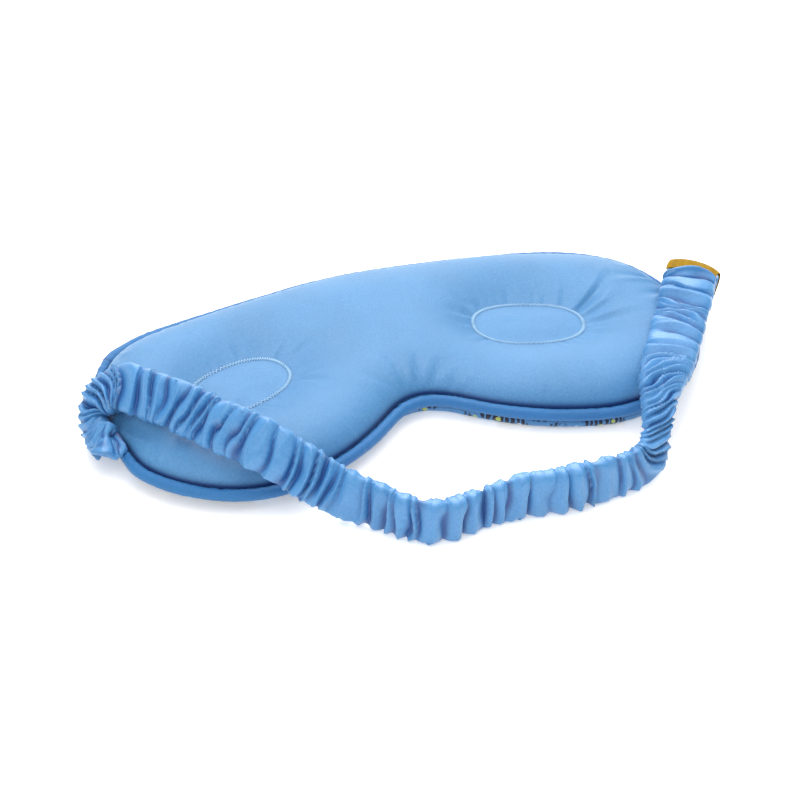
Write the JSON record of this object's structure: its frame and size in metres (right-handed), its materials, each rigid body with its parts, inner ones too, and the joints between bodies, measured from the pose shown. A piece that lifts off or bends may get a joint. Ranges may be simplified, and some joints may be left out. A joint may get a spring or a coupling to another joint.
{
  "type": "sleep mask",
  "caption": "Padded satin sleep mask with piped edge, stitched eye ovals and a gathered elastic head strap that swings about its sewn ends.",
  "frame": {"origin": "on the resting plane, under the middle of the mask", "axes": "+X along the mask from tip to tip, +Y towards the brow edge, +Z from the printed front up to the skin side"},
  "size_m": [0.2306, 0.1285, 0.033],
  "materials": {
    "satin_plain": "glossy satin",
    "satin_print": "satin with a scattered leaf print",
    "satin_piping": "satin bias strip",
    "satin_strap": "ruched satin",
    "wadding": "soft polyester wadding",
    "lining": "close black weave",
    "cord": "cotton cord",
    "thread": "polyester thread",
    "elastic": "knitted elastic",
    "label": "woven mustard band"
  },
  "bodies": {
    "mask": {"back_panel": "satin_plain", "front_panel": "satin_print", "back_padding": "wadding", "front_wadding": "wadding", "blackout_lining": "lining", "piping_cover": "satin_piping", "piping_cord": "cord", "perimeter_seam": "thread", "eye_stitch_left": "thread", "eye_stitch_right": "thread", "strap_end_left": "satin_strap", "strap_end_right": "satin_strap", "elastic_end_left": "elastic", "elastic_end_right": "elastic", "label_band": "label", "strap_tack_left": "thread", "strap_tack_right": "thread"},
    "strap": {"strap_sleeve": "satin_strap", "strap_elastic": "elastic"}
  },
  "joints": [
    {"name": "strap_swing", "type": "hinge", "parent": "mask", "child": "strap", "pos_m": [0, 0.003, 0.02], "axis": [-1, 0, 0], "range_deg": [0, 120]}
  ]
}
